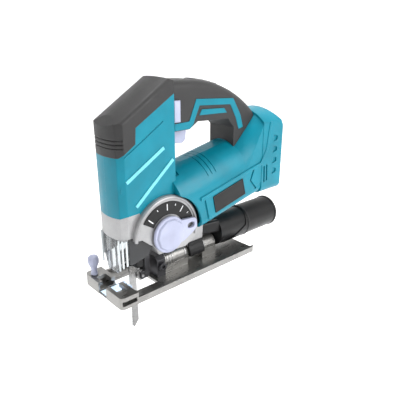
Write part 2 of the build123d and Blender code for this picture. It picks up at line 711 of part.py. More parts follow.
RING_Z = (25.5, 37.0)
RING_R = 9.8
with BuildPart() as clamp_ring:
    with BuildSketch(Plane.XY.offset(RING_Z[0])) as ring_plan:
        with Locations((BLADE_X, 0)):
            Circle(RING_R)
            with Locations((0, -12)):
                Rectangle(9, 7.5)
        fillet(ring_plan.vertices().group_by(Axis.Y)[0], radius=3)
        with Locations((BLADE_X, 0)):
            Circle(CLAMP_R + RUN, mode=Mode.SUBTRACT)
    extrude(amount=RING_Z[1] - RING_Z[0])
    for turn in range(7):
        angle = radians(90 + 34 * (turn - 3))
        add(rod_z(1.1, RING_Z[0] - 1, RING_Z[1] + 1, BLADE_X + 10.3 * cos(angle), 10.3 * sin(angle)),
            mode=Mode.SUBTRACT)
save(clamp_ring, "clamp_ring")

# ---------------------------------------------------------------- sole
sole_front = -SOLE_L / 2
block_rear = sole_front + NOSE_BLOCK_L
with BuildPart() as sole_plate:
    add(block(sole_front, SOLE_L / 2, -SOLE_W / 2, SOLE_W / 2, 0, SOLE_T))
    add(block(sole_front, block_rear, -SOLE_W / 2, SOLE_W / 2, 0, NOSE_BLOCK_H))
    for side in (-1, 1):
        outer = side * SOLE_W / 2
        inner = side * (SOLE_W / 2 - FLANGE_T)
        add(block(sole_front, SOLE_L / 2, min(outer, inner), max(outer, inner), 0, FLANGE_H))
    with BuildSketch():
        RectangleRounded(SOLE_L, SOLE_W, 5)
    extrude(amount=20, mode=Mode.INTERSECT)
    # raised web that carries the bevel tube, open under the strap
    add(block(PIVOT_FRONT, PIVOT_REAR, -RAIL_HALF, RAIL_HALF, SOLE_T, PIVOT_Z - 3))
    add(block(SADDLE_FRONT - 0.5, SADDLE_REAR + 0.5, -12, 12, SOLE_T, PIVOT_Z), mode=Mode.SUBTRACT)
    add(rod_x(PIVOT_R, PIVOT_FRONT, PIVOT_REAR, 0, PIVOT_Z), mode=Mode.SUBTRACT)
    # window round the blade, and the open channel in front of it
    add(block(WINDOW_FRONT, WINDOW_REAR, -WINDOW_W / 2, WINDOW_W / 2, -1, 20), mode=Mode.SUBTRACT)
    add(block(sole_front - 1, WINDOW_FRONT + 1, -INSERT_W / 2, INSERT_W / 2, -1, 20), mode=Mode.SUBTRACT)
    # slots of the parallel fence, and the hollow between them
    slot_mid = (sole_front + block_rear) / 2
    add(block(slot_mid - FENCE_SLOT_L / 2, slot_mid + FENCE_SLOT_L / 2, -40, 40,
              FENCE_SLOT_Z, FENCE_SLOT_Z + FENCE_SLOT_H), mode=Mode.SUBTRACT)
    add(block(slot_mid - 5, slot_mid + 5, -22, 18, FENCE_SLOT_Z + FENCE_SLOT_H - 1, 20), mode=Mode.SUBTRACT)
    add(rod_z(2.6, 5, 20, -86.3, 24), mode=Mode.SUBTRACT)
save(sole_plate, "sole_plate")

with BuildPart() as splinter_insert:
    add(block(sole_front + 0.5, WINDOW_FRONT + 9, -INSERT_W / 2, INSERT_W / 2, 0, SOLE_T))
    add(block(WINDOW_FRONT + 1, WINDOW_FRONT + 10, -1.2, 1.2, -1, 5), mode=Mode.SUBTRACT)
save(splinter_insert, "splinter_insert")

with BuildPart() as bevel_tube:
    add(rod_x(PIVOT_R, PIVOT_FRONT, PIVOT_REAR, 0, PIVOT_Z))
    add(rod_x(5.5, PIVOT_REAR - 12, PIVOT_REAR, 0, PIVOT_Z), mode=Mode.SUBTRACT)
    chamfer(bevel_tube.edges().group_by(Axis.X)[-1].sort_by(SortBy.LENGTH)[-1], length=0.8)
save(bevel_tube, "bevel_tube")

HEAD_HALF = 12.0
with BuildPart() as bevel_head:
    add(block(-34.5, PIVOT_FRONT, -HEAD_HALF, HEAD_HALF, SOLE_T, 26))
    chamfer(bevel_head.edges().filter_by(Axis.X).group_by(Axis.Z)[-1], length=4)
    add(rod_y(2.5, -HEAD_HALF - 1, -4, -29.3, 15), mode=Mode.SUBTRACT)
save(bevel_head, "bevel_head")
with BuildPart() as bevel_screw:
    add(rod_y(2.5, -HEAD_HALF, -4, -29.3, 15))
    add(rod_y(4.4, -HEAD_HALF - 3.6, -HEAD_HALF, -29.3, 15))
    with BuildSketch(Plane.XZ.offset(HEAD_HALF + 3.6)):
        with Locations((-29.3, 15)):
            RegularPolygon(radius=2.4, side_count=6)
    extrude(amount=-2.4, mode=Mode.SUBTRACT)
save(bevel_screw, "bevel_screw")

with BuildPart() as thumb_screw:
    add(rod_z(2.5, 8.4, 17, -86.3, 24))
    add(rod_z(3.6, 12.4, 19, -86.3, 24))
    add(rod_z(5.5, 18, 33, -86.3, 24))
    with BuildSketch(Plane.XY.offset(18)):
        with Locations((-86.3, 24)):
            with PolarLocations(6.2, 10):
                Circle(1.2)
    extrude(amount=12, mode=Mode.SUBTRACT)
save(thumb_screw, "thumb_screw")

# ---------------------------------------------------------------- guards, strap and dust port
with BuildPart() as clear_guard:
    add(column_form(0.6, 20, 62))
    add(column_form(2.6, 19, 63), mode=Mode.SUBTRACT)
    add(prism_y([(-82, 20), (-82, 60), (-60, 58), (-60, 20)], -40, 40), mode=Mode.INTERSECT)
    with BuildSketch(Plane.YZ.offset(-85)):
        with BuildLine():
            Polyline((-30, 46), (-20, 42), (-7, 24), (7, 24), (20, 42), (30, 46), (30, 70), (-30, 70),
                     close=True)
        make_face()
    extrude(amount=30, mode=Mode.INTERSECT)
save(clear_guard, "clear_guard")

with BuildPart() as wire_guard:
    for y in (-5, 5):
        add(rod_z(1, 22, 58.5, -75.6, y))
    add(rod_y(1, -5, 5, -75.6, 22))
    for y in (-5, 5):
        with Locations((-75.6, y, 22)):
            Sphere(1)
    add(prism_y([(-82, 20), (-82, 60), (-60, 58), (-60, 20)], -40, 40), mode=Mode.INTERSECT)
save(wire_guard, "wire_guard")

STRAP_R = 13.5
STRAP_TOP = PIVOT_Z + 10
with BuildPart() as strap_form:
    with BuildSketch(Plane.YZ.offset(SADDLE_FRONT)):
        with Locations((0, PIVOT_Z)):
            Circle(STRAP_R)
        with Locations((0, STRAP_TOP - 2)):
            Rectangle(21, 9)
        with Locations((0, PIVOT_Z)):
            Circle(PIVOT_R + GAP, mode=Mode.SUBTRACT)
        with Locations((0, PIVOT_Z - 17.5)):
            Rectangle(40, 30, mode=Mode.SUBTRACT)
    extrude(amount=SADDLE_REAR - SADDLE_FRONT)
with BuildPart() as saddle_strap:
    add(strap_form.part)
save(saddle_strap, "saddle_strap")
with BuildPart() as pivot_bracket:
    add(prism_y([(SADDLE_FRONT - 6, 44), (SADDLE_FRONT, 23), (SADDLE_REAR, 23), (SADDLE_REAR + 3, 62),
                 (SADDLE_FRONT - 6, 62)], -9, 9))
    add(strap_form.part, mode=Mode.SUBTRACT)
    add(rod_x(PIVOT_R + 1, 0, 40, 0, PIVOT_Z), mode=Mode.SUBTRACT)
    add(barrel_form(0, BARREL_START, BARREL_LENGTH), mode=Mode.SUBTRACT)
    add(rod_y(DIAL_RING_R + 0.2, -40, 40, DIAL_X, DIAL_Z), mode=Mode.SUBTRACT)
save(pivot_bracket, "pivot_bracket")

PIPE_Z = 27.0
PIPE_R = 18.5
PIPE_BORE_R = 16.5
PIPE_REAR = 150.0
DUCT_R = 17.5
DUCT_FRONT = 53.0
DUCT_REAR = 104.0
with BuildPart() as dust_duct:
    add(rod_x(DUCT_R, DUCT_FRONT, DUCT_REAR, 0, PIPE_Z))
    with BuildSketch(Plane.YZ.offset(SADDLE_REAR + 2)):
        with Locations((0, 36)):
            RectangleRounded(17, 14, 3)
    with BuildSketch(Plane.YZ.offset(DUCT_FRONT)):
        with Locations((0, 35.5)):
            RectangleRounded(26, 15, 3)
    loft()
    add(rod_x(DUCT_R - 2.5, DUCT_FRONT + 3, DUCT_REAR + 1, 0, PIPE_Z), mode=Mode.SUBTRACT)
save(dust_duct, "dust_duct")
with BuildPart() as dust_pipe:
    add(rod_x(PIPE_R, 58, PIPE_REAR, 0, PIPE_Z))
    add(prism_y([(60, 0), (62, 9), (92, 28), (97, 50), (160, 50), (160, 0)], -40, 40), mode=Mode.INTERSECT)
    add(rod_x(DUCT_R, 50, DUCT_REAR + 2, 0, PIPE_Z), mode=Mode.SUBTRACT)
    add(rod_x(PIPE_BORE_R, 100, 160, 0, PIPE_Z), mode=Mode.SUBTRACT)
save(dust_pipe, "dust_pipe")

# ---------------------------------------------------------------- controls
DIAL_BACK_Y = -26.3
with BuildPart() as pendulum_dial:
    add(rod_y(DIAL_SHAFT_R, DIAL_BACK_Y, -12.5, DIAL_X, DIAL_Z))
    add(rod_y(DIAL_R, -29, DIAL_BACK_Y, DIAL_X, DIAL_Z))
    with BuildSketch(Plane.XZ.offset(29)):
        with Locations((DIAL_X, DIAL_Z)):
            RegularPolygon(radius=16.4, side_count=10)
    extrude(amount=3, taper=18)
    with BuildSketch(Plane.XZ.offset(-DIAL_BACK_Y)):
        with BuildLine():
            Polyline((DIAL_X + 12, DIAL_Z + 11.5), (DIAL_X + 31, DIAL_Z + 10), (DIAL_X + 34.3, DIAL_Z + 7),
                     (DIAL_X + 34.3, DIAL_Z - 0.5), (DIAL_X + 31, DIAL_Z - 4), (DIAL_X + 17, DIAL_Z - 11.5),
                     (DIAL_X + 8, DIAL_Z - 12), close=True)
        make_face()
        with Locations((DIAL_X + 26.5, DIAL_Z + 3)):
            RectangleRounded(9, 6, 2.4, mode=Mode.SUBTRACT)
    extrude(amount=3.4)
save(pendulum_dial, "pendulum_dial")

ROLLER_X = -47.8
ROLLER_Z = 7.8
ROCKER_SIDE = [(-50, 4.5), (-50, 12), (-45.2, 12.6), (-43.5, 40), (-43.5, 50), (-35.5, 50), (-35.5, 42),
               (-39, 30), (-39.5, 8), (-42, 4.5)]
with BuildPart() as pendulum_rocker:
    add(prism_y(ROCKER_SIDE, -5.3, 5.3))
    add(block(-60, -30, -3.3, 3.3, 0, 29), mode=Mode.SUBTRACT)
    add(rod_y(ROCKER_PIN_R + RUN, -9, 9, ROCKER_X, ROCKER_Z), mode=Mode.SUBTRACT)
    add(rod_y(ROCKER_PIN_R, -9, 9, ROLLER_X, ROLLER_Z), mode=Mode.SUBTRACT)
save(pendulum_rocker, "pendulum_rocker")
with BuildPart() as roller_pin:
    add(rod_y(ROCKER_PIN_R, -5.3, 5.3, ROLLER_X, ROLLER_Z))
save(roller_pin, "roller_pin")
with BuildPart() as guide_roller:
    add(rod_y(4.8, -3, 3, ROLLER_X, ROLLER_Z))
    for low in (-3, 0.95):
        add(rod_y(5.5, low, low + 2.05, ROLLER_X, ROLLER_Z))
    add(rod_y(ROCKER_PIN_R + RUN, -4, 4, ROLLER_X, ROLLER_Z), mode=Mode.SUBTRACT)
save(guide_roller, "guide_roller")

with BuildPart() as trigger:
    with BuildSketch(Plane.XZ) as trigger_side:
        with BuildLine():
            Polyline((-9, 157.5), (10, 157.5), (10, 149), (9.2, 141), (5.5, 137.6), (-4, 138.2),
                     (-7.5, 142.5), (-9, 150), close=True)
        make_face()
        fillet(trigger_side.vertices(), radius=1.6)
    extrude(amount=7, both=True)
    add(prism_y([(-12, 155.4), (-6.4, 155.4), (-6.4, 160), (-12, 160)], -10, 10), mode=Mode.SUBTRACT)
save(trigger, "trigger")

BUTTON_FRONT = -15.1
with BuildPart() as lock_off_button:
    add(block(BUTTON_FRONT, -7, -20.5, 16.5, 161, 181))
    chamfer(lock_off_button.edges().group_by(Axis.Y)[0], length=1)
    for step in range(5):
        z = 164 + 3.5 * step
        add(rod_y(0.7, -22, -17, BUTTON_FRONT, z), mode=Mode.SUBTRACT)
save(lock_off_button, "lock_off_button")

# ---------------------------------------------------------------- electrical parts
with BuildPart() as switch_body:
    add(block(-5.5, 30, -9, 9, 163, 181))
    add(block(-5.5, 8, -9, 9, 176, 183), mode=Mode.SUBTRACT)
save(switch_body, "switch_body")
with BuildPart() as control_board:
    add(block(119, 120.6, -26, 26, 78, 136))
    add(block(115.6, 119, -10, 10, 95, 115))
save(control_board, "control_board")
with BuildPart() as terminal_block:
    add(block(MOUNT_REAR - 7, MOUNT_REAR - 2.5, -17, 17, 100, 122))
    add(block(MOUNT_REAR - 7, MOUNT_REAR - 4, -17, 17, 96, 100))
save(terminal_block, "terminal_block")
with BuildPart() as battery_contacts:
    for step in range(4):
        y = -12 + 8 * step
        add(block(MOUNT_REAR - 2.5, MOUNT_REAR, y - 0.5, y + 0.5, 103, 119))
save(battery_contacts, "battery_contacts")
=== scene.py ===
"""Cordless jigsaw: the looks of the tool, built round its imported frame."""
import json
import math

import bmesh
import bpy
from bpy.props import FloatProperty, FloatVectorProperty, IntProperty, PointerProperty
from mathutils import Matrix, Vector


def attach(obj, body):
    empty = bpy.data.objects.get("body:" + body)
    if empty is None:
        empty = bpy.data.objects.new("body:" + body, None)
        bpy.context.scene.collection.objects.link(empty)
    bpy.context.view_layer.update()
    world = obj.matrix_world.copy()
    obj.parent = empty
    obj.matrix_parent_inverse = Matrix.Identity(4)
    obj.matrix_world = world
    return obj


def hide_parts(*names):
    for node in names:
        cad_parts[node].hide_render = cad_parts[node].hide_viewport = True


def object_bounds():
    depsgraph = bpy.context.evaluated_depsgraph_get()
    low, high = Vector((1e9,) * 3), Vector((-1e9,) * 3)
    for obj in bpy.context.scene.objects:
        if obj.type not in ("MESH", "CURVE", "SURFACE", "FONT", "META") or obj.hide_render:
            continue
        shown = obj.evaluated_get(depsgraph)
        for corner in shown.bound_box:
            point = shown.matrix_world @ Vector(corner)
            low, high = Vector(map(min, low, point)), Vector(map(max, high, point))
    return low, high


bl_info = {
    "name": "Cordless jigsaw looks",
    "version": (1, 0, 0),
    "blender": (4, 5, 0),
    "location": "View3D > Sidebar > Jigsaw",
    "description": "Finishes and detail pieces of a cordless jigsaw, and its studio stage",
    "category": "Object",
}

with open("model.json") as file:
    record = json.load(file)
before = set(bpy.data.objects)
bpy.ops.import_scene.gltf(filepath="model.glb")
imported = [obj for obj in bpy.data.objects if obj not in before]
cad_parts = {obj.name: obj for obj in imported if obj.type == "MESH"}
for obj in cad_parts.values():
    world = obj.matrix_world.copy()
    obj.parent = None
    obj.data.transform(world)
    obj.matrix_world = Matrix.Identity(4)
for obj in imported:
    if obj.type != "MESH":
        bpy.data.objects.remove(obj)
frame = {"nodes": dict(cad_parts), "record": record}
NODES = frame["nodes"]
CAD_BOX = [list(corner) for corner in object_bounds()]
MM = 0.001


# ---------------------------------------------------------------- what a user would change
class JigsawColours(bpy.types.PropertyGroup):
    """Colours of the tool's finishes."""
    teal: FloatVectorProperty(name="Teal shells", description="Moulded plastic of the body",
                              default=(0.001, 0.180, 0.250), size=3, subtype="COLOR", min=0, max=1)
    trim: FloatVectorProperty(name="Pale trim", description="Slanted stripes on the column",
                              default=(0.16, 0.55, 0.64), size=3, subtype="COLOR", min=0, max=1)
    rubber: FloatVectorProperty(name="Rubber", description="Over-moulded grip and cap",
                                default=(0.0080, 0.0076, 0.0080), size=3, subtype="COLOR", min=0, max=1)
    black: FloatVectorProperty(name="Black plastic", description="Dust pipe, strap and plates",
                               default=(0.007, 0.007, 0.0075), size=3, subtype="COLOR", min=0, max=1)
    grey: FloatVectorProperty(name="Pale grey plastic", description="Dial, trigger, button and knob",
                              default=(0.36, 0.38, 0.50), size=3, subtype="COLOR", min=0, max=1)
    silver: FloatVectorProperty(name="Gear housing", description="Cast and painted alloy",
                                default=(0.33, 0.33, 0.335), size=3, subtype="COLOR", min=0, max=1)
    plate: FloatVectorProperty(name="Sole", description="Pressed and plated steel",
                               default=(0.27, 0.265, 0.255), size=3, subtype="COLOR", min=0, max=1)
    floor: FloatVectorProperty(name="Floor", description="Studio floor",
                               default=(0.95, 0.95, 0.95), size=3, subtype="COLOR", min=0, max=1)


class JigsawSizes(bpy.types.PropertyGroup):
    """Sizes of the edges and the detail pieces."""
    soft_edge: FloatProperty(name="Soft edge", description="Radius of the rubber's edges",
                             default=0.0012, unit="LENGTH", min=0, max=0.004)
    crisp_edge: FloatProperty(name="Crisp edge", description="Radius of the plastic's edges",
                              default=0.0006, unit="LENGTH", min=0, max=0.003)
    metal_edge: FloatProperty(name="Metal edge", description="Radius of the metal's edges",
                              default=0.0004, unit="LENGTH", min=0, max=0.003)
    round_steps: IntProperty(name="Round steps", description="Segments of a full turn",
                             default=72, min=24, max=160)


class JigsawStage(bpy.types.PropertyGroup):
    """Camera and lights."""
    lens: FloatProperty(name="Lens", description="Focal length on a 36 mm sensor, in millimetres",
                        default=38.7, min=10, max=200)
    place: FloatVectorProperty(name="Camera place", description="Camera position", size=3,
                               default=(-0.2650, -0.3289, 0.2292), subtype="TRANSLATION", unit="LENGTH")
    heading: FloatProperty(name="Heading", description="Direction of view, from +Y towards +X",
                           default=math.radians(42.40), subtype="ANGLE", unit="ROTATION")
    dip: FloatProperty(name="Dip", description="Angle of view below the level",
                       default=math.radians(19.88), subtype="ANGLE", unit="ROTATION")
    air: FloatProperty(name="Air", description="Strength of the even light all round", default=0.25, min=0,
                       max=4)
    key_power: FloatProperty(name="Key light", description="Power of the large soft light", default=7.6,
                             min=0, unit="POWER")


# ---------------------------------------------------------------- finishes
class Finish:
    """Small helper that lays out the nodes of one finish."""

    def __init__(self, name):
        self.material = bpy.data.materials.new(name)
        self.material.use_nodes = True
        self.tree = self.material.node_tree
        self.tree.nodes.clear()
        self.output = self.node("ShaderNodeOutputMaterial", 900)
        self.shader = self.node("ShaderNodeBsdfPrincipled", 600)
        self.link(self.shader, "BSDF", self.output, "Surface")
        self.place = self.node("ShaderNodeTexCoord", -1200)

    def node(self, kind, x=0, **values):
        made = self.tree.nodes.new(kind)
        made.location = (x, -220 * (len(self.tree.nodes) % 7))
        for key, value in values.items():
            setattr(made, key, value)
        return made

    def link(self, a, a_socket, b, b_socket):
        self.tree.links.new(a.outputs[a_socket], b.inputs[b_socket])

    def noise(self, scale, detail=3.0, stretch=None, rough=0.5):
        """Noise in the tool's own coordinates, stretched along an axis if asked."""
        made = self.node("ShaderNodeTexNoise", -700)
        made.inputs["Scale"].default_value = scale
        made.inputs["Detail"].default_value = detail
        made.inputs["Roughness"].default_value = rough
        if stretch:
            mapping = self.node("ShaderNodeMapping", -950)
            mapping.inputs["Scale"].default_value = stretch
            self.link(self.place, "Object", mapping, "Vector")
            self.link(mapping, "Vector", made, "Vector")
        else:
            self.link(self.place, "Object", made, "Vector")
        return made

    def span(self, source, socket, low, high, to_low, to_high):
        """Maps a value from one range to another, clamped."""
        made = self.node("ShaderNodeMapRange", -450)
        made.inputs["From Min"].default_value = low
        made.inputs["From Max"].default_value = high
        made.inputs["To Min"].default_value = to_low
        made.inputs["To Max"].default_value = to_high
        self.link(source, socket, made, "Value")
        return made

    def maths(self, how, a, a_socket, b, b_socket=None):
        made = self.node("ShaderNodeMath", -250, operation=how)
        self.link(a, a_socket, made, 0)
        if b_socket is None:
            made.inputs[1].default_value = b
        else:
            self.link(b, b_socket, made, 1)
        return made

    def blend(self, factor, factor_socket, a, b):
        """Mix of two colours; each is a colour or the mix before it."""
        made = self.node("ShaderNodeMix", 0, data_type="RGBA")
        self.link(factor, factor_socket, made, "Factor")
        for slot_index, value in ((6, a), (7, b)):
            if isinstance(value, bpy.types.Node):
                self.tree.links.new(value.outputs[2], made.inputs[slot_index])
            else:
                made.inputs[slot_index].default_value = (*value, 1.0)
        return made

    def edge(self, radius):
        """Rounded-edge normal, and a mask that is 1 on the edges."""
        bevel = self.node("ShaderNodeBevel", -700, samples=6)
        bevel.inputs["Radius"].default_value = radius
        geometry = self.node("ShaderNodeNewGeometry", -900)
        dot = self.node("ShaderNodeVectorMath", -500, operation="DOT_PRODUCT")
        self.link(bevel, "Normal", dot, 0)
        self.link(geometry, "Normal", dot, 1)
        mask = self.span(dot, "Value", 0.80, 0.985, 1.0, 0.0)
        return bevel, mask

    def bump(self, bevel, layers):
        """Stacks bump layers (source, socket, strength, depth) on the rounded edges."""
        last = bevel
        for source, socket, strength, depth in layers:
            made = self.node("ShaderNodeBump", 300)
            made.inputs["Strength"].default_value = strength
            made.inputs["Distance"].default_value = depth
            self.link(source, socket, made, "Height")
            self.link(last, "Normal", made, "Normal")
            last = made
        self.link(last, "Normal", self.shader, "Normal")

    def colour(self, mix):
        self.tree.links.new(mix.outputs[2], self.shader.inputs["Base Color"])


def shade(colour, factor):
    return tuple(min(1.0, c * factor) for c in colour)


def moulded_plastic(name, colour, roughness, edge_radius, grain=0.35, wear=1.25):
    """Moulded plastic: fine spark texture, slow colour drift, lighter rubbed edges."""
    f = Finish(name)
    drift = f.noise(38, 4)
    speck = f.noise(2400, 2)
    smear = f.noise(150, 5, rough=0.6)
    bevel, edges = f.edge(edge_radius)
    drifted = f.span(drift, "Fac", 0.35, 0.65, 0, 1)
    base = f.blend(drifted, "Result", shade(colour, 0.90), shade(colour, 1.08))
    rub = f.maths("MULTIPLY", edges, "Result", f.span(smear, "Fac", 0.42, 0.62, 0.15, 0.75), "Result")
    f.colour(f.blend(rub, "Value", base, shade(colour, wear)))
    dulled = f.span(smear, "Fac", 0.3, 0.7, roughness - 0.06, roughness + 0.08)
    f.link(dulled, "Result", f.shader, "Roughness")
    f.shader.inputs["Specular IOR Level"].default_value = 0.25
    f.bump(bevel, [(speck, "Fac", grain, 0.00004), (smear, "Fac", 0.12, 0.00012)])
    return f.material


def grip_rubber(name, colour, edge_radius):
    """Soft rubber: pebbled skin, dull sheen, dusty patches and paler worn edges."""
    f = Finish(name)
    pebble = f.node("ShaderNodeTexVoronoi", -700)
    pebble.inputs["Scale"].default_value = 900
    f.link(f.place, "Object", pebble, "Vector")
    dust = f.noise(60, 5, rough=0.65)
    bevel, edges = f.edge(edge_radius)
    base = f.blend(f.span(dust, "Fac", 0.35, 0.7, 0, 1), "Result", shade(colour, 0.8), shade(colour, 1.5))
    rub = f.maths("MULTIPLY", edges, "Result", f.span(dust, "Fac", 0.4, 0.65, 0.1, 0.7), "Result")
    f.colour(f.blend(rub, "Value", base, shade(colour, 2.6)))
    f.link(f.span(dust, "Fac", 0.3, 0.7, 0.48, 0.66), "Result", f.shader, "Roughness")
    f.shader.inputs["Sheen Weight"].default_value = 0.05
    f.shader.inputs["Sheen Roughness"].default_value = 0.5
    f.bump(bevel, [(pebble, "Distance", 0.35, 0.00006), (dust, "Fac", 0.15, 0.00015)])
    return f.material


def metal_finish(name, colour, roughness, edge_radius, stretch=(60, 900, 900), metallic=1.0,
                 bright=1.35):
    """Metal: directional grinding lines, soft stains, brighter edges."""
    f = Finish(name)
    lines = f.noise(1.0, 3, stretch=stretch, rough=0.6)
    stain = f.noise(70, 5, rough=0.6)
    bevel, edges = f.edge(edge_radius)
    stained = f.span(stain, "Fac", 0.35, 0.7, 0, 1)
    base = f.blend(stained, "Result", shade(colour, 0.84), shade(colour, 1.1))
    f.colour(f.blend(f.maths("MULTIPLY", edges, "Result", 0.7), "Value", base, shade(colour, bright)))
    rough = f.maths("ADD", f.span(lines, "Fac", 0.3, 0.7, roughness - 0.07, roughness + 0.09), "Result",
                    f.span(stain, "Fac", 0.45, 0.75, 0.0, 0.12), "Result")
    f.link(rough, "Value", f.shader, "Roughness")
    f.shader.inputs["Metallic"].default_value = metallic
    f.bump(bevel, [(lines, "Fac", 0.25, 0.00002)])
    return f.material


def cast_paint(name, colour, edge_radius):
    """Silver paint on a casting: orange-peel skin, fine flake and patches of darker and lighter tone."""
    f = Finish(name)
    peel = f.noise(420, 3)
    flake = f.noise(3200, 2)
    stain = f.noise(45, 5, rough=0.6)
    bevel, edges = f.edge(edge_radius)
    stained = f.span(stain, "Fac", 0.35, 0.7, 0, 1)
    base = f.blend(stained, "Result", shade(colour, 0.86), shade(colour, 1.1))
    glint = f.blend(f.span(flake, "Fac", 0.55, 0.75, 0, 0.5), "Result", base, shade(colour, 1.5))
    f.colour(f.blend(f.maths("MULTIPLY", edges, "Result", 0.6), "Value", glint, shade(colour, 1.6)))
    f.link(f.span(stain, "Fac", 0.3, 0.7, 0.30, 0.46), "Result", f.shader, "Roughness")
    f.shader.inputs["Metallic"].default_value = 0.55
    f.bump(bevel, [(peel, "Fac", 0.22, 0.00012), (flake, "Fac", 0.15, 0.00003)])
    return f.material


def clear_moulding(name, colour, edge_radius, haze):
    """Clear moulded plastic with faint flow marks, fine scratches and bright edges."""
    f = Finish(name)
    flow = f.noise(90, 3)
    scratch = f.noise(1.0, 4, stretch=(2500, 2500, 120), rough=0.7)
    bevel, edges = f.edge(edge_radius)
    f.colour(f.blend(edges, "Result", colour, (0.93, 0.97, 1.0)))
    f.link(f.span(scratch, "Fac", 0.4, 0.75, haze, haze + 0.16), "Result", f.shader, "Roughness")
    f.shader.inputs["Transmission Weight"].default_value = 1.0
    f.shader.inputs["IOR"].default_value = 1.45
    f.bump(bevel, [(flow, "Fac", 0.12, 0.00025), (scratch, "Fac", 0.1, 0.00003)])
    return f.material


FINISHES = {}


def lay_out_finishes(colours, sizes):
    """Makes every finish once; pieces look them up by name."""
    crisp, soft, metal = sizes.crisp_edge, sizes.soft_edge, sizes.metal_edge
    FINISHES.update({
        "teal_plastic": moulded_plastic("teal_shell", colours.teal, 0.34, crisp),
        "pale_trim": moulded_plastic("pale_trim_paint", colours.trim, 0.30, metal, 0.12),
        "black_rubber": grip_rubber("grip_rubber", colours.rubber, soft),
        "black_plastic": moulded_plastic("black_moulding", colours.black, 0.36, crisp, 0.3, 2.4),
        "grey_plastic": moulded_plastic("pale_grey_moulding", colours.grey, 0.36, crisp, 0.2),
        "cast_alloy": cast_paint("painted_casting", colours.silver, crisp),
        "plated_steel": metal_finish("plated_sole", colours.plate, 0.30, metal, metallic=0.85),
        "steel": metal_finish("ground_steel", (0.34, 0.34, 0.34), 0.26, metal, stretch=(900, 900, 90)),
        "dark_steel": metal_finish("blackened_steel", (0.06, 0.06, 0.065), 0.38, metal, metallic=0.8,
                                   bright=3.0),
        "bronze": metal_finish("sintered_bronze", (0.50, 0.31, 0.13), 0.42, metal),
        "clear_plastic": clear_moulding("clear_guard_moulding", (0.50, 0.53, 0.55), crisp, 0.05),
        "clear_blue": clear_moulding("clear_insert_moulding", (0.55, 0.72, 0.92), crisp, 0.08),
        "rib_moulding": moulded_plastic("frosted_ribs", (0.62, 0.66, 0.68), 0.2, metal, 0.1),
        "smoky_moulding": moulded_plastic("smoky_wings", (0.035, 0.036, 0.038), 0.16, crisp, 0.1, 2.0),
        # Grip ribs: the grip's black rubber, painted a lighter grey as a painted highlight along each rib.
        "rib_painted_highlight": moulded_plastic("glossy_ribs_painted_highlight", (0.12, 0.12, 0.125), 0.22, metal, 0.1),
        "white_marks": moulded_plastic("white_marks", (0.75, 0.76, 0.78), 0.4, metal, 0.1),
        "board_green": moulded_plastic("lacquered_board", (0.01, 0.12, 0.05), 0.3, metal),
    })


def give_finish(obj, name):
    obj.data.materials.clear()
    obj.data.materials.append(FINISHES[name])


# ---------------------------------------------------------------- mesh tools, in millimetres
def loft(form, rings, round_off=True, caps=True):
    """Skin over rings of points; round_off closes each ring, caps close both ends."""
    rows = [[form.verts.new(Vector(point) * MM) for point in ring] for ring in rings]
    count = len(rows[0])
    for low, high in zip(rows, rows[1:]):
        for k in range(count if round_off else count - 1):
            near = (k + 1) % count
            form.faces.new((low[k], low[near], high[near], high[k]))
    if caps:
        form.faces.new(rows[0])
        form.faces.new(rows[-1])


def slab(form, outline, low, high):
    """Side outline (X, Z) made solid between two Y values."""
    loft(form, [[(x, y, z) for x, z in outline] for y in (low, high)])


def slab_with_hole(form, outer, inner, low, high):
    """Solid between two Y values, between an outer and an inner outline of equal counts."""
    rings = [[(x, y, z) for x, z in side] for y, side in
             ((low, outer), (high, outer), (high, inner), (low, inner), (low, outer))]
    loft(form, rings, caps=False)
    bmesh.ops.remove_doubles(form, verts=form.verts, dist=1e-7)


def turned(form, profile, centre, axis, steps, start=0.0, sweep=360.0, lobes=0, lobe_depth=0.0):
    """Profile (radius, distance along the axis) turned round an axis through centre.

    A full turn is closed by flat ends where the profile starts and stops; a part turn is closed
    along the profile itself."""
    whole = sweep >= 360.0
    turns = [math.radians(start + sweep * k / steps) for k in range(steps if whole else steps + 1)]
    side = {"X": ((0, 1, 0), (0, 0, 1), (1, 0, 0)), "Y": ((1, 0, 0), (0, 0, 1), (0, 1, 0)),
            "Z": ((1, 0, 0), (0, 1, 0), (0, 0, 1))}[axis]
    across, up, along = (Vector(v) for v in side)
    rings = []
    for radius, distance in profile:
        ring = []
        for turn in turns:
            reach = radius * (1 + lobe_depth * math.cos(lobes * turn))
            ring.append(Vector(centre) + along * distance
                        + (across * math.cos(turn) + up * math.sin(turn)) * reach)
        rings.append(ring)
    if whole:
        loft(form, rings)
    else:
        loft(form, [list(ring) for ring in zip(*rings)])


def ray_outline(centre, polygon, count):
    """Points where rays from centre, evenly spread, meet a polygon."""
    points = []
    for k in range(count):
        turn = 2 * math.pi * (k + 0.5) / count
        ray = (math.cos(turn), math.sin(turn))
        best = None
        for a, b in zip(polygon, polygon[1:] + polygon[:1]):
            ex, ez = b[0] - a[0], b[1] - a[1]
            wx, wz = a[0] - centre[0], a[1] - centre[1]
            cross = ray[0] * ez - ray[1] * ex
            if abs(cross) < 1e-9:
                continue
            reach = (wx * ez - wz * ex) / cross
            along = (wx * ray[1] - wz * ray[0]) / cross
            if reach > 0 and -1e-9 <= along <= 1 + 1e-9 and (best is None or reach < best):
                best = reach
        points.append((centre[0] + ray[0] * best, centre[1] + ray[1] * best))
    return points


def oval(centre, half_x, half_z, count, power=2.6):
    """Soft-cornered oval outline."""
    points = []
    for k in range(count):
        turn = 2 * math.pi * (k + 0.5) / count
        cx, cz = math.cos(turn), math.sin(turn)
        scale = (abs(cx / half_x) ** power + abs(cz / half_z) ** power) ** (-1 / power)
        points.append((centre[0] + cx * scale, centre[1] + cz * scale))
    return points


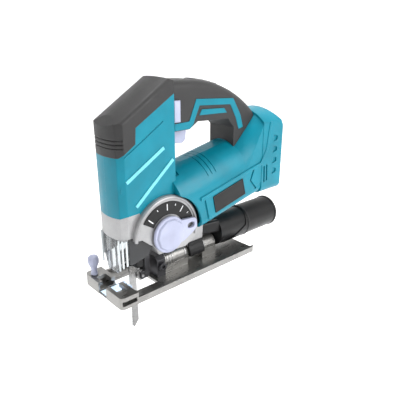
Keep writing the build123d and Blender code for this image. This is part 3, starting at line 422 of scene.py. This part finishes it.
def rope(form, path, radii, normals, flat, steps=12):
    """Ridge with an elliptical section along a path; radii taper its ends."""
    rings = []
    for k, point in enumerate(path):
        ahead = Vector(path[min(k + 1, len(path) - 1)]) - Vector(path[max(k - 1, 0)])
        ahead.normalize()
        up = Vector(normals[k]).normalized()
        across = ahead.cross(up).normalized()
        rings.append([Vector(point) + (across * math.cos(t) + up * (math.sin(t) * flat)) * radii[k]
                      for t in (2 * math.pi * j / steps for j in range(steps))])
    loft(form, rings)


def surface_point(node, start, heading):
    """Where a ray meets a solid of the frame, with the surface's direction; None if it misses."""
    solid = NODES[node]
    inverse = solid.matrix_world.inverted()
    hit, place, normal, _ = solid.ray_cast(inverse @ (Vector(start) * MM),
                                           (inverse.to_3x3() @ Vector(heading)).normalized())
    if not hit:
        return None
    return solid.matrix_world @ place / MM, (solid.matrix_world.to_3x3() @ normal).normalized()


def piece(name, form, body, slot, bevel=0.0, crease=32.0, stands_for=(), finish=None):
    """Turns a mesh under construction into a finished piece that rides on a body."""
    bmesh.ops.recalc_face_normals(form, faces=form.faces)
    mesh = bpy.data.meshes.new(name)
    form.to_mesh(mesh)
    form.free()
    mesh.shade_smooth()
    mesh.set_sharp_from_angle(angle=math.radians(crease))
    made = bpy.data.objects.new(name, mesh)
    bpy.context.scene.collection.objects.link(made)
    if bevel:
        rounding = made.modifiers.new("rounding", "BEVEL")
        rounding.width = bevel * MM
        rounding.segments = 3
        rounding.limit_method = "ANGLE"
        rounding.angle_limit = math.radians(28)
    give_finish(made, finish or slot)
    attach(made, body)
    if stands_for:
        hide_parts(*stands_for)
    return made


# ---------------------------------------------------------------- operators
# Solids whose sharp edges are broken, with the width of the rounding in millimetres.
BROKEN_EDGES = {"sole_plate": 0.5, "handle_frame_left": 0.35, "handle_frame_right": 0.35,
                "accent_stripes": 0.3, "bevel_head": 0.6, "saddle_strap": 0.6, "front_cap": 0.7,
                "trigger": 0.6, "lock_off_button": 0.4, "splinter_insert": 0.25, "pivot_bracket": 0.6}


def break_edges(solid, width):
    """Merges the flat faces of a solid and rounds its sharp edges."""
    merging = solid.modifiers.new("merging", "DECIMATE")
    merging.decimate_type = "DISSOLVE"
    merging.angle_limit = math.radians(0.6)
    rounding = solid.modifiers.new("rounding", "BEVEL")
    rounding.width = width * MM
    rounding.segments = 2
    rounding.limit_method = "ANGLE"
    rounding.angle_limit = math.radians(35)


class JIGSAW_OT_finishes(bpy.types.Operator):
    """Make the finishes and put them on every solid of the frame"""
    bl_idname = "jigsaw.finishes"
    bl_label = "Finishes"

    def execute(self, context):
        scene = context.scene
        lay_out_finishes(scene.jigsaw_colours, scene.jigsaw_sizes)
        for subpart in frame["record"]["subparts"]:
            solid = NODES[subpart["node"]]
            give_finish(solid, subpart["material_slot"])
            if subpart["node"] in BROKEN_EDGES:
                break_edges(solid, BROKEN_EDGES[subpart["node"]])
        return {"FINISHED"}


# Places and outlines in millimetres: X to the rear, Y to the right, Z up.
DIAL = (-30.0, 56.0)
SCREW_AXIS = (-86.3, 24.0)
PIPE_AXIS_Z = 27.0
TUBE_AXIS_Z = 15.0

# Dial: half sections of the disc and of the raised rim are (radius, Y).
DIAL_BACK_Y = -26.3
DISC_PROFILE = [(4.0, -12.5), (4.0, DIAL_BACK_Y), (18.0, DIAL_BACK_Y), (18.5, -26.8), (18.5, -28.6),
                (18.2, -29.3), (17.6, -29.7), (16.9, -29.8), (0.6, -29.8)]
FACET_COUNT = 10
FACET_STEPS = [(16.4, -29.7), (15.9, -31.0), (15.1, -31.9), (14.0, -32.0)]
POINTER_FRONT_Y = -29.6
POINTER = [(12, 11.5), (31, 10), (34.3, 7), (34.3, -0.5), (31, -4), (17, -11.5), (8, -12), (8, 11)]
POINTER_EYE = (26.5, 3)
EYE_HALF = (4.6, 3.1)
EYE_STEPS = 48
RIM_PROFILE = [(34.9, -24.6), (35.2, -26.0), (35.8, -26.6), (36.6, -26.8), (37.4, -26.6), (38.0, -26.0),
               (38.3, -24.6)]
RIM_START = -16
RIM_SWEEP = 194
RIM_STEPS = 60
MARK_BACK_Y = -25.7
MARK_FRONT_Y = -26.02
# Scale marks: angle, inner radius, outer radius and half the width.
MARKS = [(91, 24.5, 31.0, 0.45), (52, 24.5, 31.0, 0.45), (138, 23.5, 30.5, 0.45),
         (71, 28.5, 30.5, 0.35), (114, 28.5, 30.5, 0.35), (33, 28.5, 30.5, 0.35)]

# Fence knob: half sections of the neck and of the fluted head are (radius, Z).
NECK_PROFILE = [(0.8, 8.4), (2.2, 8.6), (2.5, 9.2), (2.5, 12.4), (3.5, 12.7), (3.6, 13.2), (3.2, 15.0),
                (2.9, 17.0), (3.0, 19.0), (3.6, 21.0), (4.6, 23.4)]
HEAD_PROFILE = [(4.4, 23.0), (4.95, 24.4), (5.25, 26.4), (5.3, 28.6), (5.15, 30.4), (4.7, 31.8),
                (3.8, 32.6), (2.4, 32.95), (0.7, 33.0)]
FLUTES = 12
FLUTE_DEPTH = 0.035

# Grip ribs: where each starts, how far it reaches sideways, how far its ends trail to the rear,
# how deep it is rooted, its radius at the ends and what the middle adds to that.
GRIP_RIBS = (21, 28.5, 36, 43.5)
RIB_REACH = 12
RIB_TRAIL = 3.5
RIB_ROOT = 0.25
RIB_END_R = 0.35
RIB_SWELL = 1.3
RIB_SWELL_REACH = 12.2
ABOVE_GRIP = 230

# Chip guard: upright ribs on one side (X, distance from the middle), and the outline of a side wing.
GUARD_RIBS = ((-79.4, 15.0), (-77.6, 18.2), (-74.6, 20.4))
GUARD_RIB_R = 0.95
GUARD_RIB_TOP = 60.0
BEVEL_CLEARANCE = 13.5
WING = [(-72.5, 36), (-70.5, 34), (-52, 38), (-47, 44), (-45.0, 50), (-45.0, 61), (-72.5, 61)]
WING_Y = (20.2, 21.6)

# Blank plates on the flanks: outline, inner and outer Y, rim, slope inside the rim and sunk depth.
PLATE = [(24, 83), (68, 93.5), (73, 75), (28, 64.5)]
PLATE_Y = (30.5, 33.0)
PLATE_RIM = 1.1
PLATE_SLOPE = 0.3
PLATE_SUNK = 0.45

# Collars of the bevel tube are (start, width); the pipe's half sections are (radius, X).
TUBE_COLLARS = ((-20.0, 1.6), (-16.5, 1.6), (-13.0, 1.6), (4.5, 2.4), (32.5, 1.6))
PIPE_LIP = [(16.5, 146.0), (18.4, 146.0), (19.1, 146.5), (19.3, 147.4), (19.3, 148.8), (18.9, 149.6),
            (18.2, 149.95), (17.2, 149.95), (16.6, 149.5), (16.5, 149.0)]
PIPE_SEAM = [(18.3, 96.2), (19.0, 96.5), (19.0, 99.0), (18.3, 99.3)]

# Floor: a flat disc that bends up into a round wall.
FLOOR_DROP = 0.4
FLOOR_CENTRE_R = 5
FLOOR_R = 2600
WALL_BEND_R = 1400
WALL_TOP = 3600
FLOOR_STEPS = 72
# Lights, in metres: name, place, target, size, and share of the key light's power.
LIGHTS = [
    ("key_light", (0.35, -0.85, 0.55), (0, 0, 0.1), (0.5, 0.7), 1.0),
    ("front_light", (-0.9, -0.1, 0.45), (0, 0, 0.1), (0.25, 0.7), 0.05),
    ("top_light", (0.15, 0.15, 1.0), (0.02, 0, 0.15), (0.35, 0.35), 1.25),
]


class JIGSAW_OT_dial(bpy.types.Operator):
    """Build the pendulum dial with its facets and pointer, the raised rim and the scale marks"""
    bl_idname = "jigsaw.dial"
    bl_label = "Dial"

    def execute(self, context):
        steps = context.scene.jigsaw_sizes.round_steps
        x, z = DIAL
        form = bmesh.new()
        turned(form, DISC_PROFILE, (x, 0, z), "Y", steps)
        corners = [math.radians(360 / FACET_COUNT * k) for k in range(FACET_COUNT)]
        loft(form, [[(x + radius * math.cos(turn), y, z + radius * math.sin(turn)) for turn in corners]
                    for radius, y in FACET_STEPS])
        eye = (x + POINTER_EYE[0], z + POINTER_EYE[1])
        outside = ray_outline(eye, [(x + dx, z + dz) for dx, dz in POINTER], EYE_STEPS)
        slab_with_hole(form, outside, oval(eye, *EYE_HALF, EYE_STEPS), DIAL_BACK_Y, POINTER_FRONT_Y)
        piece("dial_and_pointer", form, "dial", "grey_plastic", bevel=0.45, stands_for=["pendulum_dial"])

        form = bmesh.new()
        turned(form, RIM_PROFILE, (x, 0, z), "Y", RIM_STEPS, start=RIM_START, sweep=RIM_SWEEP)
        piece("dial_rim", form, "body", "cast_alloy")

        form = bmesh.new()
        for angle, start, end, half in MARKS:
            turn = math.radians(angle)
            out = Vector((math.cos(turn), math.sin(turn)))
            side = Vector((-out.y, out.x)) * half
            mark = [out * start - side, out * end - side, out * end + side, out * start + side]
            slab(form, [(x + c.x, z + c.y) for c in mark], MARK_BACK_Y, MARK_FRONT_Y)
        piece("scale_marks", form, "body", "pale_trim", finish="white_marks")
        return {"FINISHED"}


class JIGSAW_OT_thumb_screw(bpy.types.Operator):
    """Turn the pear-shaped knob of the fence screw"""
    bl_idname = "jigsaw.thumb_screw"
    bl_label = "Thumb screw"

    def execute(self, context):
        steps = context.scene.jigsaw_sizes.round_steps
        centre = (*SCREW_AXIS, 0)
        form = bmesh.new()
        turned(form, NECK_PROFILE, centre, "Z", steps)
        turned(form, HEAD_PROFILE, centre, "Z", steps, lobes=FLUTES, lobe_depth=FLUTE_DEPTH)
        piece("fence_knob", form, "fence_screw", "grey_plastic", stands_for=["thumb_screw"])
        return {"FINISHED"}


class JIGSAW_OT_grip_ribs(bpy.types.Operator):
    """Raise the finger ribs that arch over the top of the grip"""
    bl_idname = "jigsaw.grip_ribs"
    bl_label = "Grip ribs"

    def execute(self, context):
        form = bmesh.new()
        for front in GRIP_RIBS:
            path, normals, radii = [], [], []
            for y in range(-RIB_REACH, RIB_REACH + 1):
                above = (front + RIB_TRAIL * (y / RIB_REACH) ** 2, y, ABOVE_GRIP)
                found = surface_point("handle_grip", above, (0, 0, -1))
                if found is None:
                    continue
                path.append(found[0] - found[1] * RIB_ROOT)
                normals.append(found[1])
                swell = math.sqrt(max(0.0, 1 - (y / RIB_SWELL_REACH) ** 2))
                radii.append(RIB_END_R + RIB_SWELL * swell)
            rope(form, path, radii, normals, flat=0.9)
        # The ribs' finish is a lighter grey than the grip's rubber: a painted highlight on each rib.
        piece("grip_ribs", form, "body", "black_rubber", crease=60, finish="rib_painted_highlight")
        return {"FINISHED"}


class JIGSAW_OT_guard_ribs(bpy.types.Operator):
    """Mould the ribs and the smoky side wings of the chip guard"""
    bl_idname = "jigsaw.guard_ribs"
    bl_label = "Guard ribs"

    def execute(self, context):
        form = bmesh.new()
        for side in (-1, 1):
            for x, y in GUARD_RIBS:
                low = y + BEVEL_CLEARANCE
                profile = [(0.2, low), (0.7, low + 0.4), (GUARD_RIB_R, low + 1.4),
                           (GUARD_RIB_R, GUARD_RIB_TOP)]
                turned(form, profile, (x, side * y, 0), "Z", 16)
        piece("guard_ribs", form, "body", "clear_plastic", finish="rib_moulding")
        form = bmesh.new()
        for side in (-1, 1):
            slab(form, WING, side * WING_Y[0], side * WING_Y[1])
        piece("guard_wings", form, "body", "clear_plastic", bevel=0.4, finish="smoky_moulding")
        return {"FINISHED"}


class JIGSAW_OT_side_plates(bpy.types.Operator):
    """Form the blank plates on both flanks, each with a thin raised rim"""
    bl_idname = "jigsaw.side_plates"
    bl_label = "Side plates"

    def execute(self, context):
        form = bmesh.new()
        for side in (-1, 1):
            slab(form, PLATE, side * PLATE_Y[0], side * PLATE_Y[1])
        almost_out = (PLATE_Y[1] - 0.1) * MM
        outside = [face for face in form.faces if abs(face.calc_center_median().y) > almost_out]
        bmesh.ops.recalc_face_normals(form, faces=form.faces)
        bmesh.ops.inset_individual(form, faces=outside, thickness=PLATE_RIM * MM, depth=0)
        bmesh.ops.inset_individual(form, faces=outside, thickness=PLATE_SLOPE * MM,
                                   depth=-PLATE_SUNK * MM)
        piece("flank_plates", form, "body", "black_plastic", bevel=0.3, stands_for=["side_plates"])
        return {"FINISHED"}


class JIGSAW_OT_collars(bpy.types.Operator):
    """Turn the collars of the bevel tube and the lip and seam of the dust pipe"""
    bl_idname = "jigsaw.collars"
    bl_label = "Collars"

    def execute(self, context):
        steps = context.scene.jigsaw_sizes.round_steps
        form = bmesh.new()
        for start, width in TUBE_COLLARS:
            profile = [(9.3, 0), (9.9, 0.15), (10.1, 0.45), (10.1, width - 0.45), (9.9, width - 0.15),
                       (9.3, width)]
            turned(form, profile, (start, 0, TUBE_AXIS_Z), "X", steps)
        piece("tube_collars", form, "body", "steel")
        form = bmesh.new()
        for profile in (PIPE_LIP, PIPE_SEAM):
            turned(form, profile + profile[:1], (0, 0, PIPE_AXIS_Z), "X", steps)
        bmesh.ops.remove_doubles(form, verts=form.verts, dist=1e-7)
        piece("pipe_lip_and_seam", form, "body", "black_plastic")
        return {"FINISHED"}


def lay_floor(colour):
    """Pale round floor just under the blade's tip, with its wall."""
    mesh = bpy.data.meshes.new("floor")
    form = bmesh.new()
    side = [(FLOOR_CENTRE_R, 0), (FLOOR_R, 0)]
    side += [(FLOOR_R + WALL_BEND_R * math.sin(turn), WALL_BEND_R * (1 - math.cos(turn)))
             for turn in (math.radians(7.5 * step) for step in range(1, 13))]
    side += [(FLOOR_R + WALL_BEND_R, WALL_TOP)]
    rings = [[(radius * math.cos(turn), radius * math.sin(turn), z)
              for turn in (math.tau * step / FLOOR_STEPS for step in range(FLOOR_STEPS))]
             for radius, z in side]
    loft(form, rings, caps=False)
    form.verts.ensure_lookup_table()
    form.faces.new([form.verts[k] for k in range(FLOOR_STEPS)])
    bmesh.ops.recalc_face_normals(form, faces=form.faces)
    bmesh.ops.reverse_faces(form, faces=form.faces)
    form.to_mesh(mesh)
    form.free()
    mesh.shade_smooth()
    floor = bpy.data.objects.new("floor", mesh)
    floor.location = (0, 0, min(corner[2] for corner in CAD_BOX) - FLOOR_DROP * MM)
    bpy.context.scene.collection.objects.link(floor)
    f = Finish("floor_paper")
    fibre = f.noise(900, 4)
    f.colour(f.blend(fibre, "Fac", shade(colour, 0.985), colour))
    f.shader.inputs["Roughness"].default_value = 0.9
    f.shader.inputs["Emission Color"].default_value = (1, 1, 1, 1)
    f.shader.inputs["Emission Strength"].default_value = 0.42
    mesh.materials.append(f.material)
    return floor


def soft_light(name, place, target, size, power):
    """Rectangular area light aimed at a point."""
    data = bpy.data.lights.new(name, "AREA")
    data.shape = "RECTANGLE"
    data.size, data.size_y = size
    data.energy = power
    light = bpy.data.objects.new(name, data)
    light.location = place
    light.rotation_euler = (Vector(target) - Vector(place)).to_track_quat("-Z", "Y").to_euler()
    bpy.context.scene.collection.objects.link(light)


class JIGSAW_OT_stage(bpy.types.Operator):
    """Set up the pale floor, the soft lights and the camera"""
    bl_idname = "jigsaw.stage"
    bl_label = "Stage"

    def execute(self, context):
        scene = context.scene
        stage = scene.jigsaw_stage
        lay_floor(scene.jigsaw_colours.floor)

        scene.view_settings.view_transform = "Standard"
        world = bpy.data.worlds.new("studio_air")
        scene.world = world
        world.use_nodes = True
        air = world.node_tree.nodes["Background"]
        air.inputs["Color"].default_value = (1, 1, 1, 1)
        air.inputs["Strength"].default_value = stage.air
        for name, place, target, size, share in LIGHTS:
            soft_light(name, place, target, size, stage.key_power * share)

        data = bpy.data.cameras.new("camera")
        data.lens = stage.lens
        data.sensor_width = 36.0
        data.clip_start = 0.01
        data.dof.use_dof = False
        camera = bpy.data.objects.new("camera", data)
        camera.location = stage.place
        heading, dip = stage.heading, stage.dip
        view = Vector((math.sin(heading) * math.cos(dip), math.cos(heading) * math.cos(dip), -math.sin(dip)))
        camera.rotation_euler = view.to_track_quat("-Z", "Y").to_euler()
        scene.collection.objects.link(camera)
        scene.camera = camera
        return {"FINISHED"}


class JIGSAW_PT_panel(bpy.types.Panel):
    """Steps of the jigsaw's looks, in order"""
    bl_idname = "JIGSAW_PT_panel"
    bl_label = "Jigsaw"
    bl_space_type = "VIEW_3D"
    bl_region_type = "UI"
    bl_category = "Jigsaw"

    def draw(self, context):
        layout = self.layout
        for group in (context.scene.jigsaw_colours, context.scene.jigsaw_sizes, context.scene.jigsaw_stage):
            box = layout.box()
            for key in group.__annotations__:
                box.prop(group, key)
        for operator in OPERATORS:
            layout.operator(operator.bl_idname)


OPERATORS = (
    JIGSAW_OT_finishes,
    JIGSAW_OT_dial,
    JIGSAW_OT_thumb_screw,
    JIGSAW_OT_grip_ribs,
    JIGSAW_OT_guard_ribs,
    JIGSAW_OT_side_plates,
    JIGSAW_OT_collars,
    JIGSAW_OT_stage,
)
CLASSES = (JigsawColours, JigsawSizes, JigsawStage) + OPERATORS + (JIGSAW_PT_panel,)


def register():
    for cls in CLASSES:
        bpy.utils.register_class(cls)
    bpy.types.Scene.jigsaw_colours = PointerProperty(type=JigsawColours)
    bpy.types.Scene.jigsaw_sizes = PointerProperty(type=JigsawSizes)
    bpy.types.Scene.jigsaw_stage = PointerProperty(type=JigsawStage)


def unregister():
    del bpy.types.Scene.jigsaw_stage
    del bpy.types.Scene.jigsaw_sizes
    del bpy.types.Scene.jigsaw_colours
    for cls in reversed(CLASSES):
        bpy.utils.unregister_class(cls)


def main():
    register()
    for operator in OPERATORS:
        group, step = operator.bl_idname.split(".")
        getattr(getattr(bpy.ops, group), step)()


if __name__ == "__main__":
    main()
